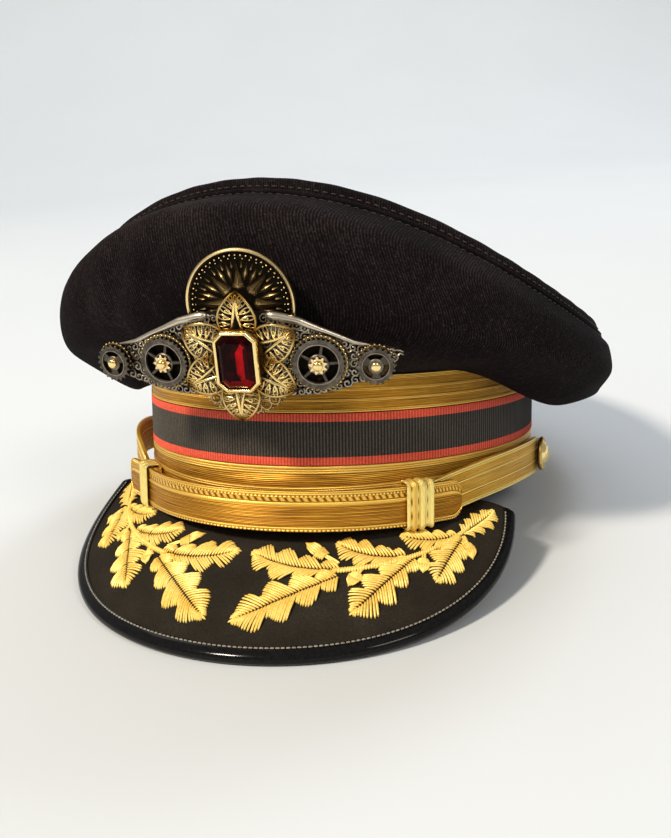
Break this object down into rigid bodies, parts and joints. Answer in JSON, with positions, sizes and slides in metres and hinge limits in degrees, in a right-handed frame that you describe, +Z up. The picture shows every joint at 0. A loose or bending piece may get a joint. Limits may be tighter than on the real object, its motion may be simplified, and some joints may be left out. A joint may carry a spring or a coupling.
{
  "type": "peaked cap",
  "caption": "Dress peaked cap: saddle-shaped black crown, laced and ribboned band, bound peak with oak sprays, gold chin strap, and a winged gear badge round a red stone.",
  "frame": {"origin": "middle of the footprint, on the surface that the cap rests on", "axes": "+Z up, the front of the cap and its peak towards -Y, +X to the left of a person wearing it"},
  "size_m": [0.2432, 0.295, 0.1578],
  "materials": {
    "black_cloth": "matt black woollen twill with a faint warm tint",
    "black_patent": "glossy black patent leather",
    "gold_lace": "woven gold wire lace with lengthwise ridges, softly metallic",
    "ribbon_black": "ribbed black silk ribbon with a red edge along the top and the bottom",
    "gold_thread": "raised satin-stitch embroidery in bright gold thread",
    "gilt": "polished gilt with darkened recesses",
    "antique_brass": "aged brass with dark patina in its recesses",
    "old_silver": "dark pewter with worn bright edges",
    "red_stone": "polished deep red step-cut glass stone"
  },
  "bodies": {
    "root": {"band": "black_cloth", "gold_lace_lower": "gold_lace", "ribbon": "ribbon_black", "gold_lace_upper": "gold_lace", "crown_side": "black_cloth", "crown_top": "black_cloth", "peak": "black_cloth", "peak_binding": "black_patent", "oak_leaves_left": "gold_thread", "oak_leaves_right": "gold_thread", "strap_front": "gold_lace", "strap_right": "gold_lace", "strap_left": "gold_lace", "keeper_left": "gold_lace", "keeper_right": "gold_lace", "button_left": "gilt", "button_right": "gilt", "compass_disc": "antique_brass", "wing_plate": "old_silver", "scalloped_skirt": "antique_brass", "gear_big_back_left": "antique_brass", "gear_big_left": "old_silver", "pinion_left": "antique_brass", "rivet_big_left": "gilt", "gear_small_back_left": "antique_brass", "gear_small_left": "old_silver", "rivet_small_left": "gilt", "gear_big_back_right": "antique_brass", "gear_big_right": "old_silver", "pinion_right": "antique_brass", "rivet_big_right": "gilt", "gear_small_back_right": "antique_brass", "gear_small_right": "old_silver", "rivet_small_right": "gilt", "petals": "gilt", "bezel": "gilt", "stone": "red_stone"}
  },
  "joints": []
}
